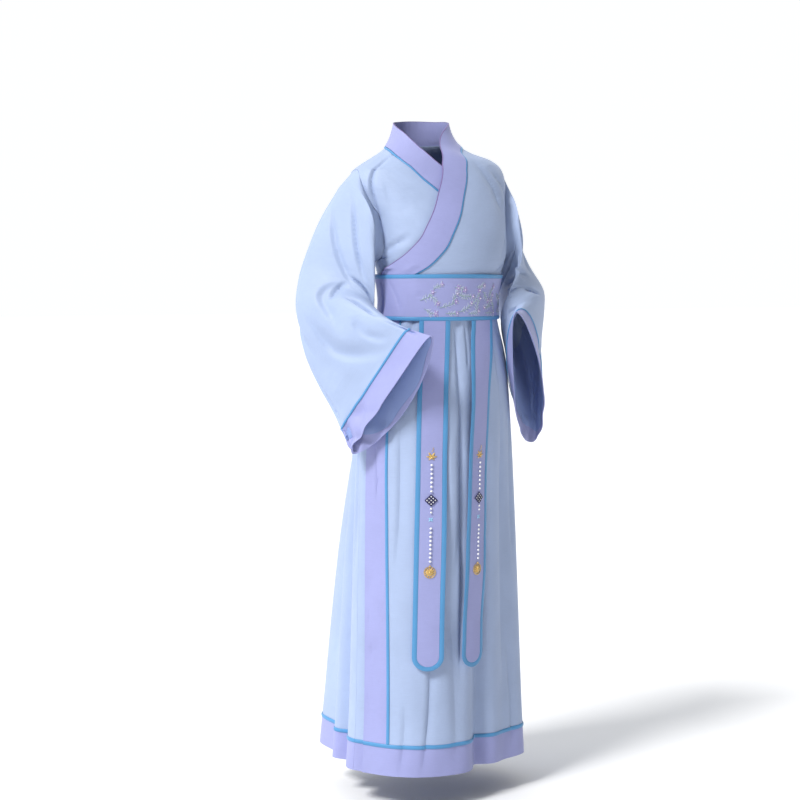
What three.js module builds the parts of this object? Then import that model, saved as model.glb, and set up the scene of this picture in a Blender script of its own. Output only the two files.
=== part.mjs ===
// A cross-collar hanfu dress, filled out as it is worn: wrapped bodice with a long collar band, wide sleeves with
// cuffs, a gathered wrap skirt with a hem band, a broad waist belt and two hanging ribbons.
// Millimetres, +Z up, the garment's front faces -Y, the wearer's left is +X. The origin is the middle of the neck base.
import * as THREE from "three";

// Driving dimensions
const HEM_Z = -1314;
const WAIST_Z = -315;
const BELT_TOP = -264;
const BELT_BOTTOM = -361;
const HEM_BAND = 63;
const HEM_RISE = 20;
const COLLAR_WIDTH = 54;
const CUFF_BAND = 56;
const CLOTH = 1.6;
const BAND_CLOTH = 2.2;
const TAPE = 1.2;
const SEAM = 0.3;
const TAPE_LIFT = 0.9;
const SEAM_TUCK = 0.05;
const OVERLAP_LIFT = 6.2;
const COLLAR_GAP = 0.9;
const SHOULDER_LEAN = 0.03;
const BELT_BINDING = 8;
const COLLAR_TAPE = 5;
const FRONT_TAPE = 6;
const HEM_TAPE = 8;
const CUFF_TAPE = 6;
const RIBBON_WIDTH = 60;
const RIBBON_END_Z = -1087;
const RIBBON_BINDING = 9;
const RIBBON_LIFT = 4.5;
const ARMHOLE = { middle: -138, half: 96, wide: 20, square: 0.7 };
const RING_POINTS = 20;

// Level sections of the worn garment: height, middle in x, half width, and how far the front and back faces reach.
const SECTIONS = [
  { z: 66, x: -5, half: 55, front: -42, back: 62 },
  { z: 30, x: -6, half: 65, front: -50, back: 64 },
  { z: 8, x: -6, half: 80, front: -60, back: 66 },
  { z: -6, x: -4, half: 101, front: -69, back: 70 },
  { z: -18, x: -2, half: 125, front: -79, back: 78 },
  { z: -32, x: 0, half: 152, front: -89, back: 87 },
  { z: -46, x: 0, half: 171, front: -98, back: 95 },
  { z: -75, x: 0, half: 178, front: -114, back: 105 },
  { z: -110, x: 0, half: 171, front: -131, back: 110 },
  { z: -150, x: 2, half: 161, front: -148, back: 104 },
  { z: -190, x: 4, half: 154, front: -158, back: 90 },
  { z: -230, x: 4, half: 146, front: -160, back: 72 },
  { z: -267, x: 1, half: 132, front: -157, back: 56 },
  { z: -315, x: -1, half: 124, front: -153, back: 46 },
  { z: -361, x: -1, half: 127, front: -153, back: 52 },
  { z: -450, x: 4, half: 153, front: -156, back: 86 },
  { z: -600, x: 6, half: 174, front: -156, back: 134 },
  { z: -800, x: 11, half: 188, front: -153, back: 174 },
  { z: -1000, x: 15, half: 201, front: -149, back: 201 },
  { z: -1200, x: 19, half: 214, front: -144, back: 221 },
  { z: -1320, x: 21, half: 224, front: -142, back: 232 },
];

// The two edges of the collar band on the body, as an angle round the body and a height. Angle 0 is the front
// middle, 90 the wearer's left side and 180 the back middle.
const OVER_COLLAR = [
  { seam: 180, seamZ: 8, free: 180, freeZ: 63 },
  { seam: 150, seamZ: 8, free: 150, freeZ: 63 },
  { seam: 120, seamZ: 8, free: 120, freeZ: 62 },
  { seam: 95, seamZ: 8, free: 94, freeZ: 58 },
  { seam: 68, seamZ: 5, free: 62, freeZ: 52 },
  { seam: 48, seamZ: 1, free: 42, freeZ: 44 },
  { seam: 33, seamZ: -6, free: 22, freeZ: 30 },
  { seam: 24, seamZ: -15, free: 9, freeZ: 8 },
  { seam: 18, seamZ: -29, free: -1, freeZ: -15 },
  { seam: 12.7, seamZ: -48, free: -6, freeZ: -37 },
  { seam: 10.4, seamZ: -66, free: -9, freeZ: -56 },
  { seam: 6, seamZ: -95, free: -13, freeZ: -85 },
  { seam: -2, seamZ: -142, free: -22, freeZ: -126 },
  { seam: -11.5, seamZ: -183, free: -33, freeZ: -165 },
  { seam: -19, seamZ: -214, free: -41, freeZ: -192 },
  { seam: -32, seamZ: -245, free: -55, freeZ: -222 },
  { seam: -47, seamZ: -265, free: -72, freeZ: -243 },
  { seam: -60, seamZ: -285, free: -84, freeZ: -262 },
  { seam: -70, seamZ: -311, free: -92, freeZ: -296 },
];
const UNDER_COLLAR = [
  { seam: -180, seamZ: 8, free: -180, freeZ: 63 },
  { seam: -150, seamZ: 8, free: -150, freeZ: 63 },
  { seam: -120, seamZ: 8, free: -120, freeZ: 62 },
  { seam: -98, seamZ: 5, free: -99, freeZ: 57 },
  { seam: -79, seamZ: 0, free: -80, freeZ: 50 },
  { seam: -62, seamZ: -8, free: -58, freeZ: 34 },
  { seam: -46, seamZ: -20, free: -38, freeZ: 14 },
  { seam: -36, seamZ: -31, free: -27, freeZ: 2 },
  { seam: -28, seamZ: -43, free: -19, freeZ: -10 },
  { seam: -20, seamZ: -67, free: -8, freeZ: -33 },
  { seam: -13, seamZ: -88, free: 0, freeZ: -56 },
  { seam: -3, seamZ: -120, free: 12, freeZ: -84 },
  { seam: 5, seamZ: -150, free: 22, freeZ: -112 },
  { seam: 12, seamZ: -178, free: 30, freeZ: -142 },
  { seam: 20, seamZ: -208, free: 38, freeZ: -174 },
  { seam: 28, seamZ: -238, free: 46, freeZ: -206 },
  { seam: 36, seamZ: -264, free: 56, freeZ: -236 },
  { seam: 43, seamZ: -288, free: 65, freeZ: -264 },
  { seam: 48, seamZ: -311, free: 71, freeZ: -290 },
];

// The skirt's folds by their angle at the hem: half width in degrees, and depth in mm, ridges plus and troughs minus.
const FOLDS = [
  { at: -166, wide: 9, deep: -14 },
  { at: -151, wide: 9, deep: 14 },
  { at: -134, wide: 10, deep: 24 },
  { at: -111, wide: 11, deep: -26 },
  { at: -87, wide: 8, deep: -40 },
  { at: -68, wide: 7, deep: 8 },
  { at: -34, wide: 26, deep: 18 },
  { at: 13, wide: 9, deep: -42 },
  { at: 33, wide: 13, deep: -20 },
  { at: 54, wide: 8, deep: 7 },
  { at: 66, wide: 8, deep: -12 },
  { at: 80, wide: 9, deep: 12 },
  { at: 95, wide: 9, deep: -14 },
  { at: 111, wide: 9, deep: 14 },
  { at: 126, wide: 9, deep: -12 },
  { at: 143, wide: 10, deep: 13 },
  { at: 160, wide: 9, deep: -13 },
  { at: 177, wide: 9, deep: 12 },
];
const FOLD_START_Z = -380;
const GATHERS = { count: 26, deep: 2.0, fadeZ: -500 };

// The front band on the over panel: angles at the hem of its seam and of its free edge.
const BAND = { seam: -45, free: -60.3 };
const SIDE_SEAM = 66.5;
const UNDER_REACH = -12;
const DRIFT = 26;

// Sleeve rings from the shoulder to the cuff, each by four points: the top, the outer side, the lowest and the
// inner side. A bent arm's inner side is the crook of its elbow.
const RIGHT_SLEEVE = [
  { top: [-190, 2, -76], out: [-188, 52, -165], low: [-162, -2, -258], in: [-172, -90, -165] },
  { top: [-214, 12, -134], out: [-222, 60, -212], low: [-168, 2, -292], in: [-176, -92, -215] },
  { top: [-236, 20, -196], out: [-246, 62, -268], low: [-178, 6, -336], in: [-174, -86, -262] },
  { top: [-250, 24, -252], out: [-268, 62, -330], low: [-204, 14, -392], in: [-168, -78, -300] },
  { top: [-256, 0, -298], out: [-278, 42, -384], low: [-226, 16, -452], in: [-164, -72, -334] },
  { top: [-222, -76, -326], out: [-256, -8, -428], low: [-228, 2, -502], in: [-160, -84, -376] },
  { top: [-188, -138, -350], out: [-226, -62, -452], low: [-226, -18, -545], in: [-154, -94, -425] },
  { top: [-152, -196, -374], out: [-190, -112, -480], low: [-226, -44, -586], in: [-158, -112, -488] },
  { top: [-125, -248, -389], out: [-180, -160, -510], low: [-218, -68, -636], in: [-130, -142, -548] },
];
const LEFT_SLEEVE = [
  { top: [188, 2, -72], out: [196, 72, -158], low: [162, -2, -256], in: [176, -92, -165] },
  { top: [214, 8, -128], out: [232, 82, -200], low: [168, 0, -288], in: [180, -102, -215] },
  { top: [240, 8, -190], out: [256, 78, -252], low: [178, 0, -332], in: [166, -110, -256] },
  { top: [258, -10, -246], out: [272, 50, -316], low: [204, 6, -388], in: [144, -114, -296] },
  { top: [262, -50, -290], out: [280, 14, -374], low: [230, 4, -446], in: [124, -116, -332] },
  { top: [230, -92, -310], out: [276, -24, -416], low: [240, -8, -500], in: [124, -122, -372] },
  { top: [192, -122, -328], out: [268, -44, -452], low: [238, -24, -540], in: [126, -124, -408] },
  { top: [156, -150, -342], out: [258, -62, -492], low: [230, -40, -580], in: [128, -126, -440] },
  { top: [120, -185, -346], out: [252, -86, -538], low: [216, -62, -628], in: [132, -142, -474] },
];

const LAVENDER = new THREE.MeshStandardMaterial({ color: 0xaeb2e4, roughness: 0.6, metalness: 0 });
const PALE_BLUE = new THREE.MeshStandardMaterial({ color: 0xb9cdf0, roughness: 0.6, metalness: 0 });
const BRIGHT_BLUE = new THREE.MeshStandardMaterial({ color: 0x5fa3d8, roughness: 0.45, metalness: 0 });

const radians = (degrees) => (degrees * Math.PI) / 180;
const mix = (a, b, share) => a + (b - a) * share;
const clamp = (value) => Math.min(1, Math.max(0, value));
const smooth = (value) => clamp(value) ** 2 * (3 - 2 * clamp(value));

// A value between a table's rows on a smooth curve, for one column against another.
function curve(rows, key, column, at) {
  const down = rows[0][key] > rows[rows.length - 1][key] ? -1 : 1;
  let i = rows.findIndex((row) => down * (row[key] - at) > 0) - 1;
  if (i === -2) i = rows.length - 2;
  i = Math.max(0, i);
  const slope = (k) => {
    const before = rows[Math.max(0, k - 1)];
    const after = rows[Math.min(rows.length - 1, k + 1)];
    return (after[column] - before[column]) / (after[key] - before[key]);
  };
  const width = rows[i + 1][key] - rows[i][key];
  const u = clamp((at - rows[i][key]) / width);
  const [a, b] = [rows[i][column], rows[i + 1][column]];
  const rise = u * u * (3 - 2 * u);
  return mix(a, b, rise) + width * (u * (1 - u) ** 2 * slope(i) - u * u * (1 - u) * slope(i + 1));
}

// A point on the plain body form at an angle and a height.
function bodyPoint(angle, z) {
  const front = curve(SECTIONS, "z", "front", z);
  const back = curve(SECTIONS, "z", "back", z);
  const half = curve(SECTIONS, "z", "half", z);
  const t = radians(angle);
  const x = curve(SECTIONS, "z", "x", z) + half * Math.sin(t);
  const y = (front + back) / 2 - ((back - front) / 2) * Math.cos(t);
  return new THREE.Vector3(x, y, z + SHOULDER_LEAN * smooth((z + 230) / 150) * x);
}

// A point moved out along the normal of a surface that is given as a function of two numbers.
function outward(surface, a, b, distance) {
  const step = 0.5;
  const across = surface(a + step, b).sub(surface(a - step, b));
  const up = surface(a, b + step).sub(surface(a, b - step));
  return surface(a, b).addScaledVector(across.cross(up).normalize(), distance);
}

const onBody = (angle, z, distance) => outward(bodyPoint, angle, z, distance);

// How far the over side is lifted clear of the under side: full across the front, none at the side seam or neck.
const lift = (angle, z) => OVERLAP_LIFT * smooth((90 - angle) / 8) * smooth((-8 - z) / 26);

// The skirt is laid out by its angle at the hem. The cloth hangs straight, so lines drift round towards the belt.
function skirtAngle(q, z) {
  const share = clamp((WAIST_Z - z) / (WAIST_Z - HEM_Z));
  return q + DRIFT * Math.sin(radians(q)) * (1 - share) ** 1.5;
}

function foldDepth(q, z) {
  const grown = smooth((FOLD_START_Z - z) / 500) * 0.6 + clamp((FOLD_START_Z - z) / (FOLD_START_Z - HEM_Z)) * 0.4;
  const gathered = 1 - smooth((BELT_BOTTOM + 10 - z) / (BELT_BOTTOM - GATHERS.fadeZ));
  const wave = GATHERS.deep * Math.cos(radians(GATHERS.count * skirtAngle(q, z))) * gathered;
  return FOLDS.reduce((sum, fold) => {
    const away = ((q - fold.at + 540) % 360) - 180;
    return sum + fold.deep * grown * Math.exp(-((away / fold.wide) ** 2));
  }, wave * smooth((BELT_BOTTOM + 30 - z) / 30));
}

// Where the skirt flares its cloth reaches less far down, so the hem rises towards the back.
function skirtPoint(q, z) {
  const share = clamp((WAIST_Z - z) / (WAIST_Z - HEM_Z));
  const point = onBody(skirtAngle(q, z), z, foldDepth(q, z));
  point.z += HEM_RISE * share * share * (1 - Math.cos(radians(q))) * 0.5;
  return point;
}

const onSkirt = (q, z, distance) => outward(skirtPoint, q, z, distance);

// A closed wall from rows of outer points and the inner points behind them. A ring's rows close on themselves.
function wall(outer, inner, ring = false) {
  const rows = outer.length;
  const columns = outer[0].length;
  const positions = [...outer.flat(), ...inner.flat()].flatMap((p) => [p.x, p.y, p.z]);
  const index = [];
  const at = (side, i, j) => side * rows * columns + i * columns + (j % columns);
  const face = (a, b, c, d) => index.push(a, b, c, a, c, d);
  const last = ring ? columns : columns - 1;
  for (let i = 0; i < rows - 1; i++)
    for (let j = 0; j < last; j++) {
      face(at(0, i, j), at(0, i, j + 1), at(0, i + 1, j + 1), at(0, i + 1, j));
      face(at(1, i, j), at(1, i + 1, j), at(1, i + 1, j + 1), at(1, i, j + 1));
    }
  for (let j = 0; j < last; j++) {
    face(at(0, 0, j), at(1, 0, j), at(1, 0, j + 1), at(0, 0, j + 1));
    face(at(0, rows - 1, j), at(0, rows - 1, j + 1), at(1, rows - 1, j + 1), at(1, rows - 1, j));
  }
  for (let i = 0; i < rows - 1 && !ring; i++) {
    face(at(0, i, 0), at(0, i + 1, 0), at(1, i + 1, 0), at(1, i, 0));
    face(at(0, i, last), at(1, i, last), at(1, i + 1, last), at(0, i + 1, last));
  }
  const geometry = new THREE.BufferGeometry();
  geometry.setAttribute("position", new THREE.Float32BufferAttribute(positions, 3));
  geometry.setIndex(volume(positions, index) < 0 ? index.reverse() : index);
  geometry.computeVertexNormals();
  return geometry;
}

function volume(positions, index) {
  const corner = (i) => new THREE.Vector3().fromArray(positions, 3 * i);
  let sum = 0;
  for (let i = 0; i < index.length; i += 3)
    sum += corner(index[i]).dot(corner(index[i + 1]).cross(corner(index[i + 2])));
  return sum;
}

const dress = new THREE.Group();

function add(name, material, geometry) {
  const mesh = new THREE.Mesh(geometry, material);
  mesh.name = name;
  dress.add(mesh);
}

// A cloth panel: point(row, column, distance out) gives its places, for whole numbers of rows and columns.
function panel(name, material, rows, columns, point, out, thickness) {
  const side = (distance) =>
    Array.from({ length: rows + 1 }, (_, i) =>
      Array.from({ length: columns + 1 }, (_, j) => point(i, j, distance)),
    );
  add(name, material, wall(side(out), side(out - thickness)));
}

// Bodice

// Heights of the bodice rows: neck to shoulder as shares, round the armhole, and down to the waist.
const shoulderRows = [0.97, 0.8, 0.55, 0.28];
const shoulderZ = ARMHOLE.middle + ARMHOLE.half;
const armholeRows = Array.from(
  { length: RING_POINTS / 2 + 1 },
  (_, i) => ARMHOLE.middle + ARMHOLE.half * Math.cos((2 * Math.PI * i) / RING_POINTS),
);
const lowRows = [-250, -266, -282, -298, WAIST_Z + SEAM / 2];
const seamDegrees = 0.25;

// The half angle that the armhole takes out of the side at a height.
function armholeGap(z) {
  const up = (z - ARMHOLE.middle) / ARMHOLE.half;
  return ARMHOLE.wide * Math.max(0, 1 - up * up) ** (ARMHOLE.square / 2);
}

// The panel's edge under the collar: a little inside the collar's seam.
const tucked = (collar) =>
  collar.map((row) => ({
    angle: mix(row.seam, row.free, SEAM_TUCK),
    z: mix(row.seamZ, row.freeZ, SEAM_TUCK),
  }));
const neckEdgeZ = (collar, angle) => curve(tucked(collar), "angle", "z", angle);
const neckEdgeAngle = (collar, z) => curve(tucked(collar).slice(4), "z", "angle", z);

// A front panel from its collar seam to the side: sign is 1 for the wearer's left, the over panel.
function frontPanel(name, collar, sign, lifted) {
  const neckZ = neckEdgeZ(collar, sign * 88);
  const heights = [...shoulderRows.map((share) => mix(shoulderZ, neckZ, share)), ...armholeRows, ...lowRows];
  const columns = 11;
  const point = (i, j, distance) => {
    const z = heights[i];
    const outer = 90 - armholeGap(z) - seamDegrees;
    const inner = Math.min(sign * neckEdgeAngle(collar, z), outer - 1);
    const angle = sign * mix(inner, outer, j / columns);
    return onBody(angle, z, distance + (lifted ? lift(angle, z) : 0));
  };
  panel(name, PALE_BLUE, heights.length - 1, columns, point, 0, CLOTH);
}

function backPanel() {
  const spans = [...shoulderRows.map((share) => ({ share })), ...[...armholeRows, ...lowRows].map((z) => ({ z }))];
  const columns = 16;
  const point = (i, j, distance) => {
    const { share, z } = spans[i];
    const gap = (share ? 0 : armholeGap(z)) + seamDegrees;
    const angle = mix(90 + gap, 270 - gap, j / columns);
    const neckZ = neckEdgeZ(OVER_COLLAR, angle > 180 ? 360 - angle : angle);
    return onBody(angle, share ? mix(shoulderZ, neckZ, share) : z, distance);
  };
  panel("bodice_back", PALE_BLUE, spans.length - 1, columns, point, 0, CLOTH);
}

// Collar

// A place beside the collar's seam, as a share of the band's width towards its free edge. The band keeps one width.
function collarPlace(station, share) {
  const seam = bodyPoint(station.seam, station.seamZ);
  let scale = 1;
  for (let k = 0; k < 4; k++) {
    const free = bodyPoint(mix(station.seam, station.free, scale), mix(station.seamZ, station.freeZ, scale));
    scale *= COLLAR_WIDTH / free.distanceTo(seam);
  }
  return [mix(station.seam, station.free, share * scale), mix(station.seamZ, station.freeZ, share * scale)];
}

// Stations from the under end, round the back of the neck, to the over end. Over angles carry on past the back.
const collarRows = [
  ...UNDER_COLLAR.slice().reverse(),
  ...OVER_COLLAR.slice(1).map((row) => ({ ...row, seam: row.seam - 360, free: row.free - 360 })),
].map((row, i) => ({ ...row, i }));
const backStation = UNDER_COLLAR.length - 1;

function collarStations(from, to, count) {
  return Array.from({ length: count + 1 }, (_, k) => {
    const at = mix(from, to, k / count);
    const value = (column) => curve(collarRows, "i", column, at);
    const station = { seam: value("seam"), seamZ: value("seamZ"), free: value("free"), freeZ: value("freeZ") };
    const angle = Math.max(-90, station.seam + 360);
    return { ...station, lift: at > backStation ? lift(angle, station.seamZ) : 0 };
  });
}

function collar() {
  const last = collarRows.length - 1;
  const stations = collarStations(0, last, last * 2);
  const columns = 3;
  const band = (i, j, distance) => {
    const [angle, z] = collarPlace(stations[i], j / columns);
    return onBody(angle, z, distance + stations[i].lift);
  };
  panel("collar_band", LAVENDER, stations.length - 1, columns, band, COLLAR_GAP + BAND_CLOTH, BAND_CLOTH);
  collarPiping("collar_piping_under", 0, backStation - 0.02);
  collarPiping("collar_piping_over", backStation + 0.02, last);
}

// The piping lies on the panel along the collar's seam.
function collarPiping(name, from, to) {
  const stations = collarStations(from, to, Math.round((to - from) * 2));
  const piping = (i, j, distance) => {
    const share = j ? -SEAM / COLLAR_WIDTH : -COLLAR_TAPE / COLLAR_WIDTH;
    const [angle, z] = collarPlace(stations[i], share);
    return onBody(angle, z, distance + stations[i].lift);
  };
  panel(name, BRIGHT_BLUE, stations.length - 1, 1, piping, TAPE_LIFT + SEAM + TAPE, TAPE);
}

// Skirt

const hemSeamZ = HEM_Z + HEM_BAND;
const skirtRows = [WAIST_Z - SEAM / 2, -352, -392, -450, -540, -680, -850, -1050];

// The over panel stands clear of the under panel, and comes down to the side seam.
const skirtLift = (q) => OVERLAP_LIFT * smooth((SIDE_SEAM - q) / 6);

// A strip of the skirt between two hem angles and along a list of heights.
function skirtStrip(name, material, heights, columns, from, to, lifted, out, thickness) {
  const point = (i, j, distance) => {
    const q = mix(from, to, j / columns);
    return onSkirt(q, heights[i], distance + (lifted ? skirtLift(q) : 0));
  };
  panel(name, material, heights.length - 1, columns, point, out, thickness);
}

function skirtPanel(name, from, to, columns, lifted) {
  const heights = [...skirtRows, hemSeamZ + SEAM / 2];
  skirtStrip(name, PALE_BLUE, heights, columns, from + seamDegrees, to - seamDegrees, lifted, 0, CLOTH);
}

function hem(suffix, from, to, columns, lifted) {
  const [a, b] = [from + seamDegrees, to - seamDegrees];
  const band = [hemSeamZ - SEAM / 2, HEM_Z];
  const tape = [hemSeamZ + HEM_TAPE / 2, hemSeamZ - HEM_TAPE / 2];
  skirtStrip("hem_" + suffix, LAVENDER, band, columns, a, b, lifted, 0, BAND_CLOTH);
  skirtStrip("hem_piping_" + suffix, BRIGHT_BLUE, tape, columns, a, b, lifted, TAPE_LIFT + TAPE, TAPE);
}

// The band down the over panel's free edge, and the piping over its seam.
function frontBand() {
  const heights = [...skirtRows, hemSeamZ + SEAM / 2];
  const taped = [...skirtRows, hemSeamZ + HEM_TAPE / 2 + SEAM];
  const half = FRONT_TAPE / 7.2;
  skirtStrip("front_band", LAVENDER, heights, 5, BAND.free, BAND.seam - seamDegrees, true, 0, CLOTH);
  skirtStrip(
    "front_band_piping",
    BRIGHT_BLUE,
    taped,
    1,
    BAND.seam - half,
    BAND.seam + half,
    true,
    TAPE_LIFT + TAPE,
    TAPE,
  );
}

// Sleeves

// The armhole's edge as a ring on the body, drawn in by a small distance. Side is 1 on the wearer's left.
function armholeRing(side, inset, distance) {
  return Array.from({ length: RING_POINTS }, (_, k) => {
    const turn = (2 * Math.PI * k) / RING_POINTS;
    const across = Math.sign(Math.sin(turn)) * Math.abs(Math.sin(turn)) ** ARMHOLE.square;
    const angle = 90 + (ARMHOLE.wide - inset / 2.6) * across;
    const z = ARMHOLE.middle + (ARMHOLE.half - inset) * Math.cos(turn);
    return onBody(side * angle, z, distance + (side > 0 ? lift(angle, z) : 0));
  });
}

// A point of a sleeve: a turn in degrees from the top round the outer side, and a place along in hundredths of a row.
function sleevePoint(table, turn, place) {
  const rows = table.map((row, i) => ({ i, ...row }));
  const pole = (name) => {
    const column = rows.map((row) => ({ i: row.i, x: row[name][0], y: row[name][1], z: row[name][2] }));
    return new THREE.Vector3(...["x", "y", "z"].map((axis) => curve(column, "i", axis, place / 100)));
  };
  const [top, out, low, inner] = ["top", "out", "low", "in"].map(pole);
  const t = radians(turn);
  const middle = top.clone().add(out).add(low).add(inner).multiplyScalar(0.25);
  const uneven = top.clone().add(low).sub(out).sub(inner).multiplyScalar(0.25);
  return middle
    .addScaledVector(top.sub(low), Math.cos(t) / 2)
    .addScaledVector(out.sub(inner), Math.sin(t) / 2)
    .addScaledVector(uneven, Math.cos(2 * t));
}

function sleeve(name, table, side) {
  const surface = (turn, place) => sleevePoint(table, turn, place);
  const last = (table.length - 1) * 100;
  const rowLength = (turn) => surface(turn, last).distanceTo(surface(turn, last - 100));
  const span = (rowLength(0) + rowLength(180)) / 200;
  const cuffStart = last - CUFF_BAND / span;
  const gap = (5 * SEAM) / span;
  const ring = (place, distance) =>
    Array.from({ length: RING_POINTS }, (_, k) =>
      outward(surface, (360 * k) / RING_POINTS, Math.min(place, last - 0.5), -side * distance),
    );
  const rings = (from, to, count, distance) =>
    Array.from({ length: count + 1 }, (_, i) => ring(mix(from, to, i / count), distance));
  const body = [armholeRing(side, 0.5, -0.3), ...rings(0, cuffStart - gap, 11, 0)];
  const lining = [armholeRing(side, 0.5 + CLOTH, -CLOTH), ...rings(0, cuffStart - gap, 11, -CLOTH)];
  add("sleeve_" + name, PALE_BLUE, wall(body, lining, true));
  const cuff = (distance) => rings(cuffStart, last, 2, distance);
  add("cuff_" + name, LAVENDER, wall(cuff(0), cuff(-BAND_CLOTH), true));
  const half = CUFF_TAPE / span / 2;
  const tape = (distance) => rings(cuffStart - half, cuffStart + half, 1, TAPE_LIFT + distance);
  add("cuff_piping_" + name, BRIGHT_BLUE, wall(tape(TAPE), tape(0), true));
}

// Belt

// The belt's inner face stands clear of the overlapped front, and closer at the back.
const beltClearance = (angle) => 3.2 + (OVERLAP_LIFT + 0.9) * smooth((118 - Math.abs(angle)) / 22);

function beltRing(name, material, topZ, lowZ, thickness) {
  const columns = 60;
  const point = (i, j, distance) => {
    const angle = mix(-180 + seamDegrees, 180 - seamDegrees, j / columns);
    return onBody(angle, i ? lowZ : topZ, distance + beltClearance(angle));
  };
  panel(name, material, 1, columns, point, thickness, thickness);
}

// Ribbons

// How far a ribbon stands off: clear of the over panel and of the skirt's highest fold behind its width.
function ribbonStandOff(angle, z) {
  const share = clamp((WAIST_Z - z) / (WAIST_Z - HEM_Z));
  const depths = [-13, -6.5, 0, 6.5, 13].map((away) => {
    let q = angle + away;
    for (let k = 0; k < 6; k++) q = angle + away - DRIFT * Math.sin(radians(q)) * (1 - share) ** 1.5;
    return foldDepth(q, z);
  });
  return OVERLAP_LIFT + RIBBON_LIFT + Math.max(0.8, ...depths);
}

// Ribbons hang on the skirt's front. Their middle line is given by x at a few heights, and one is turned a little.
function ribbonPoint(ribbon, across, z, distance) {
  const half = curve(SECTIONS, "z", "half", z);
  const reach = (curve(SECTIONS, "z", "back", z) - curve(SECTIONS, "z", "front", z)) / 2;
  const x = curve(ribbon.line, "z", "x", z) - curve(SECTIONS, "z", "x", z);
  const middle = Math.asin(x / half);
  const perDegree = radians(Math.hypot(half * Math.cos(middle), reach * Math.sin(middle)));
  const angle = (middle * 180) / Math.PI;
  const turned = -ribbon.turned * across * smooth((-400 - z) / 150);
  return onBody(angle + across / perDegree, z, distance + turned + ribbonStandOff(angle, z));
}

function ribbon(name, place) {
  const top = BELT_BOTTOM - SEAM;
  const radius = RIBBON_WIDTH / 2;
  const arcZ = RIBBON_END_Z + radius;
  const straight = 12;
  const arc = 10;
  const side = (sign, i) => ({ sign, z: mix(top, arcZ, i / straight) });
  const path = [
    ...Array.from({ length: straight + 1 }, (_, i) => side(-1, i)),
    ...Array.from({ length: arc - 1 }, (_, i) => ({ turn: mix(-90, 90, (i + 1) / arc) })),
    ...Array.from({ length: straight + 1 }, (_, i) => side(1, straight - i)),
  ];
  const outline = (station, inset) => {
    if (station.sign) return [station.sign * (radius - inset), station.z];
    const t = radians(station.turn);
    return [(radius - inset) * Math.sin(t), arcZ - (radius - inset) * Math.cos(t)];
  };
  const edge = (i, j, distance) => {
    const [x, z] = outline(path[i], j * RIBBON_BINDING);
    return ribbonPoint(place, x, z, distance);
  };
  panel("ribbon_binding_" + name, BRIGHT_BLUE, path.length - 1, 1, edge, 0.3, CLOTH + 0.6);
  const inset = RIBBON_BINDING + SEAM;
  const last = path.length - 1;
  const columns = 2;
  const field = (i, j, distance) => {
    const left = outline(path[i], inset);
    const right = outline(path[last - i], inset);
    return ribbonPoint(place, mix(left[0], right[0], j / columns), left[1], distance);
  };
  panel("ribbon_" + name, LAVENDER, straight + arc / 2 - 1, columns, field, 0, CLOTH);
}

const RIGHT_RIBBON = {
  turned: 0,
  line: [
    { z: -361, x: -60 },
    { z: -540, x: -67 },
    { z: -750, x: -69 },
    { z: -1090, x: -72 },
  ],
};
const LEFT_RIBBON = {
  turned: 0.3,
  line: [
    { z: -361, x: 46 },
    { z: -540, x: 40 },
    { z: -750, x: 33 },
    { z: -1090, x: 24 },
  ],
};

frontPanel("bodice_over", OVER_COLLAR, 1, true);
frontPanel("bodice_under", UNDER_COLLAR, -1, false);
backPanel();
collar();
skirtPanel("skirt_over", BAND.seam, SIDE_SEAM, 34, true);
skirtPanel("skirt_under", -SIDE_SEAM, UNDER_REACH, 16, false);
skirtPanel("skirt_back", SIDE_SEAM, 360 - SIDE_SEAM, 60, false);
frontBand();
hem("over", BAND.free, SIDE_SEAM, 38, true);
hem("under", -SIDE_SEAM, UNDER_REACH, 16, false);
hem("back", SIDE_SEAM, 360 - SIDE_SEAM, 60, false);
sleeve("right", RIGHT_SLEEVE, -1);
sleeve("left", LEFT_SLEEVE, 1);
beltRing("belt", LAVENDER, BELT_TOP - BELT_BINDING - SEAM, BELT_BOTTOM + BELT_BINDING + SEAM, BAND_CLOTH);
beltRing("belt_binding_top", BRIGHT_BLUE, BELT_TOP, BELT_TOP - BELT_BINDING, BAND_CLOTH + 0.6);
beltRing("belt_binding_low", BRIGHT_BLUE, BELT_BOTTOM + BELT_BINDING, BELT_BOTTOM, BAND_CLOTH + 0.6);
ribbon("right", RIGHT_RIBBON);
ribbon("left", LEFT_RIBBON);

export default dress;
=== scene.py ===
import math

import bpy
import numpy as np
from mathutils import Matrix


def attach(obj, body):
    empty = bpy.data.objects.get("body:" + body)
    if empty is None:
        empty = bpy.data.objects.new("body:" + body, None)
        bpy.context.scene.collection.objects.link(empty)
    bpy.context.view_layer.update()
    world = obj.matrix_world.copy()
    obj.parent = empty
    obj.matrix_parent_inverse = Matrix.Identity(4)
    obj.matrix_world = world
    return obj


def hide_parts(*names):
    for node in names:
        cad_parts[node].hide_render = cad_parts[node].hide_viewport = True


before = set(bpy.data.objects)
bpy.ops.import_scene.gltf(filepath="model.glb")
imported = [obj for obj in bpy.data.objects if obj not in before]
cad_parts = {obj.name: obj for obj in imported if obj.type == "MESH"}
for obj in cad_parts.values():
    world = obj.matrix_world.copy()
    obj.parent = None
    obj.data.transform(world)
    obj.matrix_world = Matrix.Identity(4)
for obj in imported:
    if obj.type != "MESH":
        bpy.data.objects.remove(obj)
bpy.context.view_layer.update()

# Driving dimensions, most as in the part's source: mm, and degrees for seams, armhole width and drift
HEM_Z = -1314
WAIST_Z = -315
BELT_TOP = -264
BELT_BOTTOM = -361
HEM_BAND = 63
HEM_RISE = 20
COLLAR_WIDTH = 54
CUFF_BAND = 56
CLOTH = 1.0
BAND_CLOTH = 1.8
SEAM = 0.3
SEAM_DEGREES = 0.04
TAPE_LIFT = 0.5
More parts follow.
